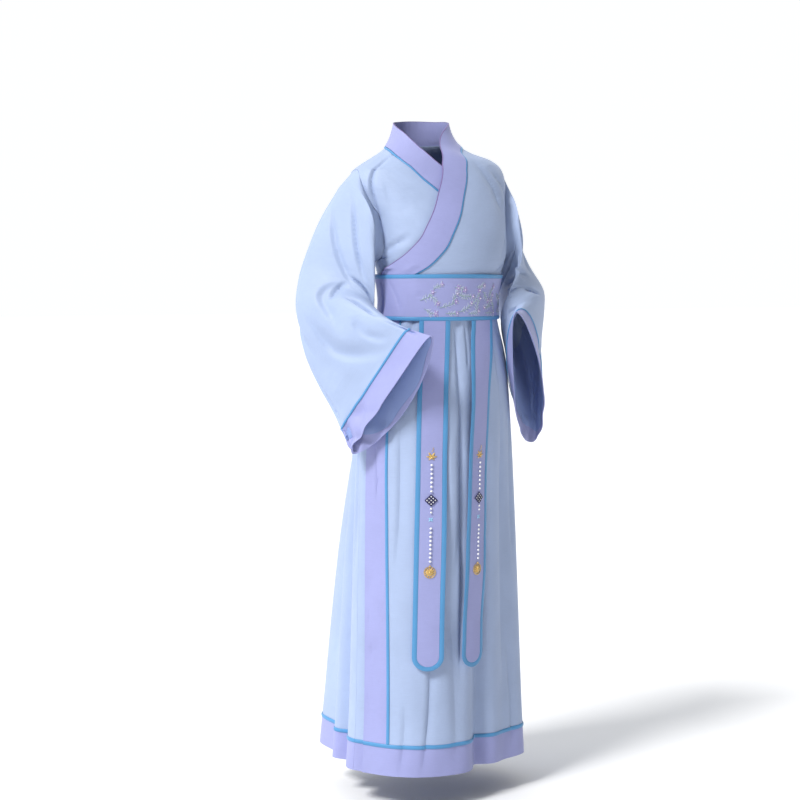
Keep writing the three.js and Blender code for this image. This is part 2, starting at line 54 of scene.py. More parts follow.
SEAM_TUCK = 0.05
OVERLAP_LIFT = 6.2
COLLAR_GAP = 0.9
SHOULDER_LEAN = 0.03
BELT_BINDING = 8
COLLAR_TAPE = 4
FRONT_TAPE = 6
HEM_TAPE = 8
CUFF_TAPE = 4.6
RIBBON_WIDTH = 60
RIBBON_END_Z = -1087
RIBBON_BINDING = 9
RIBBON_LIFT = 4.5
ARMHOLE_MIDDLE = -138
ARMHOLE_HALF = 96
ARMHOLE_WIDE = 20
ARMHOLE_SQUARE = 0.7
FOLD_START_Z = -380
GATHER_COUNT = 26
GATHER_DEEP = 2.0
GATHER_FADE_Z = -500
BAND_SEAM = -45
BAND_FREE = -60.3
SIDE_SEAM = 66.5
UNDER_REACH = -12
DRIFT = 26
FLOOR_Z = -1384

# Where parts of the form begin, end and ease off: heights and distances in mm, angles in degrees
LEAN_LOW_Z = -230
LEAN_GROWTH = 150
OVERLAP_END = 90
OVERLAP_EASE = 8
OVERLAP_TOP_Z = -8
OVERLAP_TOP_EASE = 26
FOLD_GROWTH = 500
FOLD_EARLY_SHARE = 0.6
GATHER_EASE = 30
SKIRT_OVERLAP_EASE = 6
BELT_CLEARANCE = 3.2
BELT_OVERLAP_SPARE = 0.9
BELT_OVERLAP_END = 118
BELT_OVERLAP_EASE = 22
SHOULDER_ANGLE = 88

# Level sections of the worn garment: height, middle in x, half width, front face and back face
SECTIONS = [
    (66, -5, 55, -42, 62),
    (30, -6, 65, -50, 64),
    (8, -6, 80, -60, 66),
    (-6, -4, 101, -69, 70),
    (-18, -2, 125, -79, 78),
    (-32, 0, 152, -89, 87),
    (-46, 0, 171, -98, 95),
    (-75, 0, 178, -114, 105),
    (-110, 0, 171, -131, 110),
    (-150, 2, 161, -148, 104),
    (-190, 4, 154, -158, 90),
    (-230, 4, 146, -160, 72),
    (-267, 1, 132, -157, 56),
    (-315, -1, 124, -153, 46),
    (-361, -1, 127, -153, 52),
    (-450, 4, 153, -156, 86),
    (-600, 6, 174, -156, 134),
    (-800, 11, 188, -153, 174),
    (-1000, 15, 201, -149, 201),
    (-1200, 19, 214, -144, 221),
    (-1320, 21, 224, -142, 232),
]

# The collar's two edges on the body: seam angle, seam height, free angle, free height
OVER_COLLAR = [
    (180, 8, 180, 63),
    (150, 8, 150, 63),
    (120, 8, 120, 62),
    (95, 8, 94, 58),
    (68, 5, 62, 52),
    (48, 1, 42, 44),
    (33, -6, 22, 30),
    (24, -15, 9, 8),
    (18, -29, -1, -15),
    (12.7, -48, -6, -37),
    (10.4, -66, -9, -56),
    (6, -95, -13, -85),
    (-2, -142, -22, -126),
    (-11.5, -183, -33, -165),
    (-19, -214, -41, -192),
    (-32, -245, -55, -222),
    (-47, -265, -72, -243),
    (-60, -285, -84, -262),
    (-70, -311, -92, -296),
]
UNDER_COLLAR = [
    (-180, 8, -180, 63),
    (-150, 8, -150, 63),
    (-120, 8, -120, 62),
    (-98, 5, -99, 57),
    (-79, 0, -80, 50),
    (-62, -8, -58, 34),
    (-46, -20, -38, 14),
    (-36, -31, -27, 2),
    (-28, -43, -19, -10),
    (-20, -67, -8, -33),
    (-13, -88, 0, -56),
    (-3, -120, 12, -84),
    (5, -150, 22, -112),
    (12, -178, 30, -142),
    (20, -208, 38, -174),
    (28, -238, 46, -206),
    (36, -264, 56, -236),
    (43, -288, 65, -264),
    (48, -311, 71, -290),
]

# The skirt's folds: angle at the hem, half width in degrees, depth (ridges plus, troughs minus)
FOLDS = [
    (-166, 9, -14),
    (-151, 9, 14),
    (-134, 10, 24),
    (-111, 11, -26),
    (-87, 8, -40),
    (-68, 7, 8),
    (-34, 26, 18),
    (13, 9, -42),
    (33, 13, -20),
    (54, 8, 7),
    (66, 8, -12),
    (80, 9, 12),
    (95, 9, -14),
    (111, 9, 14),
    (126, 9, -12),
    (143, 10, 13),
    (160, 9, -13),
    (177, 9, 12),
]

# Sleeve rings from shoulder to cuff, each by its top, outer, lowest and inner point
RIGHT_SLEEVE = [
    [(-190, 2, -76), (-188, 52, -165), (-162, -2, -258), (-172, -90, -165)],
    [(-214, 12, -134), (-222, 60, -212), (-168, 2, -292), (-176, -92, -215)],
    [(-236, 20, -196), (-246, 62, -268), (-178, 6, -336), (-174, -86, -262)],
    [(-250, 24, -252), (-268, 62, -330), (-204, 14, -392), (-168, -78, -300)],
    [(-256, 0, -298), (-278, 42, -384), (-226, 16, -452), (-164, -72, -334)],
    [(-222, -76, -326), (-256, -8, -428), (-228, 2, -502), (-160, -84, -376)],
    [(-188, -138, -350), (-226, -62, -452), (-226, -18, -545), (-154, -94, -425)],
    [(-152, -196, -374), (-190, -112, -480), (-226, -44, -586), (-158, -112, -488)],
    [(-125, -248, -389), (-180, -160, -510), (-218, -68, -636), (-130, -142, -548)],
]
LEFT_SLEEVE = [
    [(188, 2, -72), (196, 72, -158), (162, -2, -256), (176, -92, -165)],
    [(214, 8, -128), (232, 82, -200), (168, 0, -288), (180, -102, -215)],
    [(240, 8, -190), (256, 78, -252), (178, 0, -332), (166, -110, -256)],
    [(258, -10, -246), (272, 50, -316), (204, 6, -388), (144, -114, -296)],
    [(262, -50, -290), (280, 14, -374), (230, 4, -446), (124, -116, -332)],
    [(230, -92, -310), (276, -24, -416), (240, -8, -500), (124, -122, -372)],
    [(192, -122, -328), (268, -44, -452), (238, -24, -540), (126, -124, -408)],
    [(156, -150, -342), (258, -62, -492), (230, -40, -580), (128, -126, -440)],
    [(120, -185, -346), (252, -86, -538), (216, -62, -628), (132, -142, -474)],
]

# Ribbon middle lines: height and x
RIGHT_RIBBON = {"turned": 0, "line": [(-361, -60), (-540, -67), (-750, -69), (-1090, -72)]}
LEFT_RIBBON = {"turned": 0.3, "line": [(-361, 46), (-540, 40), (-750, 33), (-1090, 24)]}

# Creases on the bodice: angle and height of both ends, bend, width and depth in mm
BODICE_CREASES = [
    (-57, 16, -78, -250, -2, 7, -8),
    (-66, -70, -76, -210, -4, 9, -2.6),
    (-40, -178, -82, -220, 3, 8, -5),
    (-96, -240, -70, -234, 5, 4, -4.2),
    (-94, -250, -72, -243, 4, 4, -4),
    (-92, -258, -76, -253, 3, 3.5, -3.6),
    (-34, -118, -50, -126, 2, 8, -1.3),
    (-50, -60, -56, -150, 3, 12, -1.6),
    (53, -152, 22, -30, -5, 15, -7.5),
    (34, -46, 66, -120, 4, 8, -4.2),
    (70, -150, 40, -240, -8, 12, -3.8),
    (66, -226, 34, -262, 4, 9, -2.6),
    (58, -110, 62, -250, 4, 8, -3.6),
    (118, -225, 160, -120, 8, 9, -4.2),
    (-118, -225, -158, -130, -8, 9, -4.4),
    (112, -190, 140, -70, 6, 8, -3.4),
    (-112, -180, -136, -80, -6, 8, -3.2),
    (150, -255, 172, -170, 4, 8, -3.4),
    (-150, -250, -176, -200, -4, 8, -3),
    (104, -245, 124, -232, 4, 5, -3.6),
    (-104, -250, -126, -240, 4, 5, -3.8),
    (176, -60, -170, -66, 3, 9, -1.6),
]

# Creases on the sleeves: turn in degrees and place along in mm of both ends, bend, width and depth in mm
RIGHT_CREASES = [
    (12, 40, 311, 232, 8, 9, -9),
    (342, 2, 294, 192, 8, 8, -9),
    (321, 188, 279, 240, 3, 7, -10),
    (318, 206, 12, 262, 8, 7, -9),
    (322, 214, 62, 325, -12, 15, -9),
    (44, 240, 56, 410, -42, 17, -10),
    (22, 316, 44, 400, -20, 13, -6),
    (344, 262, 6, 350, 4, 9, -8),
    (300, 262, 316, 330, 5, 7, -6),
    (292, 300, 304, 404, 6, 9, -4.4),
    (6, 350, 30, 452, 6, 12, -4.5),
    (60, 20, 64, 210, 9, 15, -5.5),
    (96, 60, 104, 300, 9, 12, -6.5),
    (130, 240, 160, 420, -9, 13, -7.5),
    (150, 60, 140, 230, 8, 11, -6.5),
    (200, 50, 216, 290, 8, 12, -7),
    (236, 60, 248, 220, 6, 9, -6),
    (238, 270, 214, 430, -8, 12, -6),
    (264, 260, 240, 330, 5, 8, -5),
]
LEFT_CREASES = [
    (264, 0, 192, 106, 16, 8, -10),
    (212, 2, 187, 136, 8, 9, -12),
    (218, 64, 258, 94, 2, 6, -7.5),
    (256, 98, 338, 198, -6, 9, -8),
    (199, 120, 328, 222, 4, 9, -9),
    (316, 212, 8, 264, 4, 8, -7.5),
    (290, 6, 282, 130, 5, 9, -7.5),
    (326, 10, 318, 160, 6, 10, -7),
    (352, 40, 346, 200, 5, 12, -5.5),
    (286, 250, 318, 300, 5, 8, -5),
    (40, 230, 78, 300, -10, 13, -8),
    (64, 40, 76, 220, 9, 13, -6),
    (100, 60, 108, 250, -8, 12, -6.5),
    (86, 296, 62, 384, 8, 12, -6),
    (130, 206, 158, 360, -9, 13, -7.5),
    (148, 40, 136, 170, 8, 11, -6.5),
    (214, 150, 222, 300, 8, 11, -6.5),
    (238, 260, 214, 360, -6, 11, -5.5),
]

# Creases on the skirt: hem angle and height of both ends, bend, width and depth in mm
SKIRT_CREASES = [
    (-4, -400, -5, -1130, 1, 9, -15),
    (-26, -352, -27, -470, 1, 5, -4),
    (-20, -352, -18, -520, 2, 6, -4.5),
    (-7, -352, -6, -560, 2, 7, -5),
    (0, -352, 1, -470, 1, 5, -4),
    (24, -352, 26, -500, 2, 6, -4.5),
    (-44, -352, -46, -520, 2, 7, -5),
    (-66, -352, -68, -520, 2, 7, -5),
    (44, -352, 46, -540, 2, 7, -5),
    (62, -352, 66, -520, 2, 7, -5),
    (-6, -560, -8, -900, 4, 9, -4),
    (-60, -690, -46, -697, 3, 5, -2.2),
    (-60, -826, -47, -822, 3, 6, -2.4),
    (-60, -908, -49, -918, -3, 5, -2),
    (-60, -986, -46, -980, 3, 5, -2.2),
    (-60, -1060, -46, -1054, 3, 7, -2.6),
    (-60, -1150, -50, -1160, -3, 6, -1.8),
    (-54, -600, -52, -760, 3, 7, -1.8),
    (-24, -960, -28, -1330, 8, 12, -5.5),
    (-14, -880, -8, -1330, 8, 34, -7),
    (-38, -520, -41, -900, 7, 15, -3.8),
    (-36, -1140, -39, -1330, 3, 14, -2.6),
    (-12, -430, -10, -860, 3, 16, 4),
    (30, -520, 36, -1200, 6, 26, -6),
    (26, -420, 34, -800, 8, 12, -5),
    (46, -400, 50, -960, -9, 12, -5),
    (40, -1050, 42, -1310, 6, 11, -4),
    (-75, -480, -72, -940, 9, 11, -5),
    (100, -400, 104, -780, 9, 14, -6),
    (-100, -400, -98, -860, -9, 14, -6),
    (135, -390, 134, -720, 7, 13, -6),
    (-140, -395, -144, -800, -7, 13, -6),
    (168, -390, 170, -740, 7, 13, -6),
    (152, -700, 150, -1150, 7, 15, -5),
    (-120, -760, -124, -1200, 7, 15, -5),
]

# Small raised folds on the collar's end at the belt, as on the bodice
COLLAR_FOLDS = [
    (-96, -236, -70, -224, 5, 5, 7.5),
    (-96, -247, -68, -237, 5, 4.6, 7.5),
    (-94, -257, -64, -251, 4, 4.4, 7),
    (-60, -262, -40, -238, -3, 6, 2),
]

# Creases on the belt, as on the bodice
BELT_CREASES = [
    (-86, -262, -86, -366, 1, 5, -2.4),
    (-78, -268, -60, -356, 3, 7, -1.5),
    (-50, -310, -30, -316, 3, 8, -1),
    (26, -270, 34, -350, 3, 8, -1.2),
    (64, -268, 58, -352, 3, 7, -1.6),
    (92, -270, 88, -350, 4, 7, -1.8),
    (-120, -275, -126, -350, 4, 8, -1.8),
    (140, -272, 146, -352, 4, 8, -1.6),
]

# A crease's fading ends as a share of its length, and its steep side as a share of its width
CREASE_FADE = 0.35
CREASE_STEEP = 0.36

# The length of a degree on each form
BODICE_MM_PER_DEGREE = 2.7
SLEEVE_MM_PER_DEGREE = 1.35
SKIRT_MM_PER_DEGREE = 3.4
HEM_MM_PER_DEGREE = 3.6

PALE_BLUE = (0.36, 0.445, 0.645)
LAVENDER = (0.315, 0.335, 0.61)
BRIGHT_BLUE = (0.085, 0.28, 0.54)
# Darker blue of the cuffs' linings: painted shade of the sleeves' insides
SHADE_LINING_BLUE = (0.24, 0.32, 0.6)
NAVY = (0.012, 0.010, 0.085)
GOLD = (0.68, 0.47, 0.17)
PEARL = (0.88, 0.89, 0.94)
MAUVE = (0.21, 0.15, 0.36)
FLOOR_COLOUR = (0.88, 0.885, 0.9)


def clamp(value):
    return np.clip(value, 0.0, 1.0)


def smooth(value):
    return clamp(value) ** 2 * (3 - 2 * clamp(value))


def mix(a, b, share):
    return a + (b - a) * share


def arch(count):
    """A row of numbers that rises from 0 to about 1 and falls to 0 again."""
    return np.sin(np.linspace(0, math.pi, count))


def wrapped(angle):
    """An angle in degrees, brought between -180 and 180."""
    return (angle + 180) % 360 - 180


def curve(keys, values, at):
    """Values on a smooth curve between a table's rows."""
    keys = np.asarray(keys, float)
    values = np.asarray(values, float)
    if keys[0] > keys[-1]:
        keys = keys[::-1]
        values = values[::-1]
    before = np.maximum(np.arange(len(keys)) - 1, 0)
    after = np.minimum(np.arange(len(keys)) + 1, len(keys) - 1)
    slopes = (values[after] - values[before]) / (keys[after] - keys[before])
    i = np.clip(np.searchsorted(keys, at, side="right") - 1, 0, len(keys) - 2)
    width = keys[i + 1] - keys[i]
    u = clamp((at - keys[i]) / width)
    rise = u * u * (3 - 2 * u)
    bend = u * (1 - u) ** 2 * slopes[i] - u * u * (1 - u) * slopes[i + 1]
    return mix(values[i], values[i + 1], rise) + width * bend


def column(table, index):
    return [row[index] for row in table]


def section(index, z):
    return curve(column(SECTIONS, 0), column(SECTIONS, index), z)


def crease_depth(table, across, along, scale):
    """Soft troughs and ridges along gently bent lines, steeper on one side and faded at the ends."""
    total = np.zeros(np.broadcast(across, along).shape)
    for a0, b0, a1, b1, bend, width, depth in table:
        reach = wrapped(a1 - a0) * scale
        rise = b1 - b0
        length = math.hypot(reach, rise)
        x = wrapped(across - a0) * scale
        y = along - b0
        t = (x * reach + y * rise) / length**2
        off = (y * reach - x * rise) / length - bend * (1 - (2 * t - 1) ** 2)
        fade = smooth(t / CREASE_FADE) * smooth((1 - t) / CREASE_FADE)
        slope = np.where(off > 0, width, CREASE_STEEP * width)
        total = total + depth * fade * np.exp(-((off / slope) ** 2))
    return total


def outward(surface, a, b, distance):
    """A point moved out along the normal of a surface given as a function of two numbers."""
    step = 0.5
    over = surface(a + step, b) - surface(a - step, b)
    up = surface(a, b + step) - surface(a, b - step)
    normal = np.cross(over, up)
    normal = normal / np.linalg.norm(normal, axis=-1, keepdims=True)
    return surface(a, b) + normal * np.asarray(distance)[..., None]


def body_point(angle, z):
    front = section(3, z)
    back = section(4, z)
    t = np.radians(angle)
    x = section(1, z) + section(2, z) * np.sin(t)
    y = (front + back) / 2 - (back - front) / 2 * np.cos(t)
    lean = SHOULDER_LEAN * smooth((z - LEAN_LOW_Z) / LEAN_GROWTH) * x
    return np.stack(np.broadcast_arrays(x, y, z + lean), axis=-1)


def creased_body(angle, z):
    return outward(body_point, angle, z, crease_depth(BODICE_CREASES, angle, z, BODICE_MM_PER_DEGREE))


def on_body(angle, z, distance):
    return outward(creased_body, angle, z, distance)


def lift(angle, z):
    """How far the over side is lifted clear of the under side."""
    beside = smooth((OVERLAP_END - angle) / OVERLAP_EASE)
    return OVERLAP_LIFT * beside * smooth((OVERLAP_TOP_Z - z) / OVERLAP_TOP_EASE)


def skirt_angle(q, z):
    share = clamp((WAIST_Z - z) / (WAIST_Z - HEM_Z))
    return q + DRIFT * np.sin(np.radians(q)) * (1 - share) ** 1.5


def fold_depth(q, z):
    fall = clamp((FOLD_START_Z - z) / (FOLD_START_Z - HEM_Z))
    grown = mix(fall, smooth((FOLD_START_Z - z) / FOLD_GROWTH), FOLD_EARLY_SHARE)
    gathered = 1 - smooth((BELT_BOTTOM + 10 - z) / (BELT_BOTTOM - GATHER_FADE_Z))
    wave = GATHER_DEEP * np.cos(np.radians(GATHER_COUNT * skirt_angle(q, z))) * gathered
    total = wave * smooth((BELT_BOTTOM + GATHER_EASE - z) / GATHER_EASE)
    for at, wide, deep in FOLDS:
        total = total + deep * grown * np.exp(-((wrapped(q - at) / wide) ** 2))
    return total + crease_depth(SKIRT_CREASES, q, z, SKIRT_MM_PER_DEGREE)


def skirt_point(q, z):
    share = clamp((WAIST_Z - z) / (WAIST_Z - HEM_Z))
    point = outward(body_point, skirt_angle(q, z), z, fold_depth(q, z))
    point[..., 2] += HEM_RISE * share * share * (1 - np.cos(np.radians(q))) * 0.5
    return point


def on_skirt(q, z, distance):
    return outward(skirt_point, q, z, distance)


def lengths(points, axis):
    """Mean distance along a grid's rows or columns, for lengthways thread coordinates."""
    steps = np.linalg.norm(np.diff(points, axis=axis), axis=-1).mean(axis=1 - axis)
    return np.concatenate([[0], np.cumsum(steps)])


def shell(name, outer, inner, ring=False):
    """A closed thin wall from a grid of outer points and the inner points behind them."""
    rows, columns = outer.shape[:2]
    last = columns if ring else columns - 1
    i, j = grid(np.arange(rows - 1), np.arange(last))
    k = (j + 1) % columns
    row = i * columns
    outside = np.stack([row + j, row + k, row + columns + k, row + columns + j], axis=-1)
    inside = outside[..., ::-1] + rows * columns
    faces = [outside.reshape(-1, 4), inside.reshape(-1, 4)]
    j = np.arange(last)
    k = (j + 1) % columns
    shift = rows * columns
    low = (rows - 1) * columns
    faces.append(np.stack([j + shift, k + shift, k, j], axis=-1))
    faces.append(np.stack([low + j, low + k, low + k + shift, low + j + shift], axis=-1))
    if not ring:
        i = np.arange(rows - 1) * columns
        faces.append(np.stack([i, i + columns, i + columns + shift, i + shift], axis=-1))
        i = i + columns - 1
        faces.append(np.stack([i + shift, i + columns + shift, i + columns, i], axis=-1))
    points = np.concatenate([outer.reshape(-1, 3), inner.reshape(-1, 3)])
    faces = np.concatenate(faces)
    a, b, c, d = (points[faces[:, n]] for n in range(4))
    volume = (a * np.cross(b, c)).sum() + (a * np.cross(c, d)).sum()
    if volume < 0:
        faces = faces[:, ::-1]
    thread = np.stack(grid(lengths(outer, 0), lengths(outer, 1)), axis=-1).reshape(-1, 2)
    corners = np.concatenate([thread, thread])[faces]
    if ring:
        around = corners[..., 1].max() * columns / (columns - 1)
        wraps = np.ptp(corners[..., 1], axis=1) > around / 2
        corners[..., 1] += np.where(wraps[:, None] & (corners[..., 1] < around / 2), around, 0)
    return make_object(name, points, faces, corners)


def add_object(name, data):
    obj = bpy.data.objects.new(name, data)
    bpy.context.scene.collection.objects.link(obj)
    return obj


def make_object(name, points, faces, thread=None):
    """A smooth-shaded object from millimetre points, with the thread coordinates of each face's corners."""
    mesh = bpy.data.meshes.new(name)
    mesh.from_pydata((np.asarray(points) / 1000).tolist(), [], [list(map(int, face)) for face in faces])
    if thread is not None:
        layer = mesh.uv_layers.new(name="thread")
        layer.data.foreach_set("uv", (thread.reshape(-1, 2) / 1000).astype(np.float32).ravel())
    mesh.shade_smooth()
    mesh.set_sharp_from_angle(angle=math.radians(50))
    return add_object(name, mesh)


def finish_piece(obj, finish, *nodes):
    """Gives a piece its material, hangs it under the root empty and hides the solids of the record that it
    covers.
    """
    material, slot = finish
    obj.data.materials.append(material)
    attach(obj, "root")
    if nodes:
        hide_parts(*nodes)
    return obj


def wall(name, finish, nodes, place, a, b, outer, inner, ring=False):
    """A finished thin piece on a surface, between two distances from it, over a grid of its two coordinates."""
    piece = shell(name, place(a, b, outer + 0.0 * a), place(a, b, inner + 0.0 * a), ring)
    return finish_piece(piece, finish, *nodes)


def grid(rows, columns):
    return np.meshgrid(rows, columns, indexing="ij")


# Materials


def set_inputs(node, values):
    for name, value in values.items():
        node.inputs[name].default_value = value
    return node


def new_material(name, colour, roughness):
    material = bpy.data.materials.new(name)
    material.use_nodes = True
    shader = material.node_tree.nodes["Principled BSDF"]
    set_inputs(shader, {"Base Color": (*colour, 1), "Roughness": roughness})
    return material, shader


def colour_by(material, shader, source, colour, dark, light):
    """Shades the colour between a darker and a lighter share of it, by a noise."""
    ramp = material.node_tree.nodes.new("ShaderNodeValToRGB")
    for element, at, share in zip(ramp.color_ramp.elements, (0.3, 0.7), (dark, light)):
        element.position = at
        element.color = (*[min(1, c * share) for c in colour], 1)
    material.node_tree.links.new(source, ramp.inputs["Fac"])
    material.node_tree.links.new(ramp.outputs["Color"], shader.inputs["Base Color"])


def raise_by(material, target, source, strength, distance):
    """Gives a node's normal a bump by a height; returns the bump."""
    bump = material.node_tree.nodes.new("ShaderNodeBump")
    set_inputs(bump, {"Strength": strength, "Distance": distance})
    material.node_tree.links.new(source, bump.inputs["Height"])
    material.node_tree.links.new(bump.outputs["Normal"], target.inputs["Normal"])
    return bump


def cloth_material(name, colour, roughness, sheen, thread_mm, crinkle_mm):
    """Woven cloth: crossing threads, slubs along them, a soft mottling of the dye and fine crinkles."""
    material, shader = new_material(name, colour, roughness)
    nodes = material.node_tree.nodes
    link = material.node_tree.links.new
    set_inputs(shader, {"Sheen Weight": sheen, "Sheen Roughness": 0.45, "Sheen Tint": (0.86, 0.92, 1.0, 1)})
    set_inputs(shader, {"Specular IOR Level": 0.28})
    place = nodes.new("ShaderNodeUVMap")
    place.uv_map = "thread"

    def scaled(x, y):
        mapping = set_inputs(nodes.new("ShaderNodeMapping"), {"Scale": (x, y, 1)})
        link(place.outputs["UV"], mapping.inputs["Vector"])
        return mapping.outputs["Vector"]

    def noise(x, y, detail):
        node = set_inputs(nodes.new("ShaderNodeTexNoise"), {"Scale": 1, "Detail": detail})
        link(scaled(x, y), node.inputs["Vector"])
        return node.outputs["Fac"]

    def maths(operation, first, second):
        node = nodes.new("ShaderNodeMath")
        node.operation = operation
        for socket, value in zip(node.inputs, (first, second)):
            if isinstance(value, (int, float)):
                socket.default_value = value
            else:
                link(value, socket)
        return node.outputs[0]

    waves = []
    for direction in ("X", "Y"):
        wave = nodes.new("ShaderNodeTexWave")
        wave.bands_direction = direction
        set_inputs(wave, {"Scale": 1000 / thread_mm / 6.28, "Distortion": 0.6})
        link(scaled(1, 1), wave.inputs["Vector"])
        waves.append(wave.outputs["Fac"])
    weave = maths("MULTIPLY", waves[0], waves[1])
    slub = noise(900, 40, 2)
    mottle = noise(9, 14, 3)
    shade = maths("ADD", maths("MULTIPLY", slub, 0.35), maths("MULTIPLY", mottle, 0.65))
    colour_by(material, shader, shade, colour, 0.93, 1.05)
    threads = raise_by(material, shader, weave, 0.25, 0.00012)
    raise_by(material, threads, noise(24, 16, 4), 0.8, crinkle_mm / 1000)
    return material


def thread_material(name, colour, roughness=0.4, metallic=0.0):
    """Embroidery thread, cord or bead: fine strands over a slightly uneven colour."""
    material, shader = new_material(name, colour, roughness)
    nodes = material.node_tree.nodes
    set_inputs(shader, {"Metallic": metallic, "Sheen Weight": 0.15})
    place = nodes.new("ShaderNodeTexCoord")
    strands = set_inputs(nodes.new("ShaderNodeTexNoise"), {"Scale": 900, "Detail": 2})
    material.node_tree.links.new(place.outputs["Object"], strands.inputs["Vector"])
    colour_by(material, shader, strands.outputs["Fac"], colour, 0.72, 1.15)
    raise_by(material, shader, strands.outputs["Fac"], 0.4, 0.0002)
    return material


# Each cloth's material and the slot that it takes in the record
PALE_CLOTH = (cloth_material("pale_blue_cloth", PALE_BLUE, 0.5, 0.12, 0.5, 3.4), "pale_blue_cloth")
BAND_FABRIC = (cloth_material("lavender_cloth", LAVENDER, 0.48, 0.15, 0.45, 2.4), "lavender_cloth")
# The lining cloth is darker than the pale cloth to paint the shade inside the sleeves
SHADE_LINING_CLOTH = (cloth_material("shade_lining_cloth", SHADE_LINING_BLUE, 0.5, 0.1, 0.45, 2.4), "pale_blue_cloth")
BINDING = (cloth_material("blue_binding", BRIGHT_BLUE, 0.36, 0.12, 0.4, 0.4), "blue_binding")
MAUVE_EDGE = (thread_material("mauve_edge", MAUVE, 0.5), "lavender_cloth")
navy_cord = thread_material("navy_cord", NAVY)
gold_thread = thread_material("gold_thread", GOLD, 0.35, 0.55)
pearl = thread_material("pearl", PEARL, 0.22)
silver_thread = thread_material("silver_thread", (0.44, 0.50, 0.66), 0.45)
lilac_thread = thread_material("lilac_thread", (0.36, 0.28, 0.58), 0.45)
green_thread = thread_material("green_thread", (0.30, 0.42, 0.44), 0.5)
sky_thread = thread_material("sky_thread", (0.30, 0.58, 0.82), 0.45)

# Bodice


def armhole_gap(z):
    """The half angle that the armhole takes out of the side at a height."""
    up = (z - ARMHOLE_MIDDLE) / ARMHOLE_HALF
    return ARMHOLE_WIDE * np.maximum(0, 1 - up * up) ** (ARMHOLE_SQUARE / 2)


def tucked(collar):
    """The panel's edge under the collar, a little inside the collar's seam: angles and heights."""
    angles = [mix(row[0], row[2], SEAM_TUCK) for row in collar]
    heights = [mix(row[1], row[3], SEAM_TUCK) for row in collar]
    return angles, heights


def neck_edge_z(collar, angle):
    return curve(*tucked(collar), angle)


def neck_edge_angle(collar, z):
    angles, heights = tucked(collar)
    return curve(heights[4:], angles[4:], z)


SHOULDER_Z = ARMHOLE_MIDDLE + ARMHOLE_HALF
NECK_SHARES = np.linspace(0.97, 0.06, 14)
ARMHOLE_ROWS = ARMHOLE_MIDDLE + ARMHOLE_HALF * np.cos(np.linspace(0, math.pi, 41))
LOW_ROWS = np.linspace(-240, WAIST_Z + SEAM / 2, 14)


def front_panel(name, collar, sign, lifted):
    """A front panel from its collar seam to the side; sign is 1 on the wearer's left."""
    neck_z = float(neck_edge_z(collar, sign * SHOULDER_ANGLE))
    heights = np.concatenate([mix(SHOULDER_Z, neck_z, NECK_SHARES), ARMHOLE_ROWS, LOW_ROWS])
    z, share = grid(heights, np.linspace(0, 1, 61))
    outer_edge = 90 - armhole_gap(z) - SEAM_DEGREES
    inner_edge = np.minimum(sign * neck_edge_angle(collar, z), outer_edge - 1)
    angle = sign * mix(inner_edge, outer_edge, share)
    raised = lift(angle, z) if lifted else 0 * z
    return wall(f"{name}_cloth", PALE_CLOTH, [name], on_body, angle, z, raised, raised - CLOTH)


def back_panel():
    top = np.concatenate([NECK_SHARES, np.zeros(len(ARMHOLE_ROWS) + len(LOW_ROWS))])
    low = np.concatenate([np.full(len(NECK_SHARES), SHOULDER_Z), ARMHOLE_ROWS, LOW_ROWS])
    neck_share, across = grid(top, np.linspace(0, 1, 91))
    z = low[:, None] + 0 * across
    gap = np.where(neck_share > 0, 0, armhole_gap(z)) + SEAM_DEGREES
    angle = mix(90 + gap, 270 - gap, across)
    neck_z = neck_edge_z(OVER_COLLAR, np.where(angle > 180, 360 - angle, angle))
    z = mix(z, neck_z, neck_share)
    return wall("bodice_back_cloth", PALE_CLOTH, ["bodice_back"], on_body, angle, z, 0, -CLOTH)


bodice_over = front_panel("bodice_over", OVER_COLLAR, 1, True)
bodice_under = front_panel("bodice_under", UNDER_COLLAR, -1, False)
bodice_back = back_panel()

# Collar

COLLAR_ROWS = UNDER_COLLAR[::-1] + [(row[0] - 360, row[1], row[2] - 360, row[3]) for row in OVER_COLLAR[1:]]
BACK_STATION = len(UNDER_COLLAR) - 1


def collar_points(start, end, count, shares, distances):
    """Points of the collar band along its stations: share 0 is its seam and 1 its free edge."""
    at = np.linspace(start, end, count)
    index = np.arange(len(COLLAR_ROWS))
    seam, seam_z, free, free_z = (curve(index, column(COLLAR_ROWS, n), at) for n in range(4))
    scale = np.ones(count)
    seam_point = body_point(seam, seam_z)
    for _ in range(4):
        reach = body_point(mix(seam, free, scale), mix(seam_z, free_z, scale)) - seam_point
        scale = scale * COLLAR_WIDTH / np.linalg.norm(reach, axis=-1)
    raised = np.where(at > BACK_STATION, lift(np.maximum(-90, seam + 360), seam_z), 0)
    share = np.asarray(shares)[None, :] * scale[:, None]
    angle = mix(seam[:, None], free[:, None], share)
    z = mix(seam_z[:, None], free_z[:, None], share)
    raised = raised[:, None] + crease_depth(COLLAR_FOLDS, angle, z, BODICE_MM_PER_DEGREE)
    return outward(body_point, angle, z, raised + np.asarray(distances)[None, :])


def collar_strip(name, finish, nodes, stations, shares, outer, inner):
    """A strip of the collar; stations is its first station, its last one and their count."""
    piece = shell(name, collar_points(*stations, shares, outer), collar_points(*stations, shares, inner))
    return finish_piece(piece, finish, *nodes)


def collar_piping(name, *stations):
    """The rounded piping that lies on the panel along the collar's seam."""
    shares = -np.linspace(COLLAR_TAPE, SEAM, 6) / COLLAR_WIDTH
    low = TAPE_LIFT + SEAM
    crown = low + 0.4 + arch(6)
    return collar_strip(f"{name}_tape", BINDING, [name], stations, shares, crown, np.full(6, low))


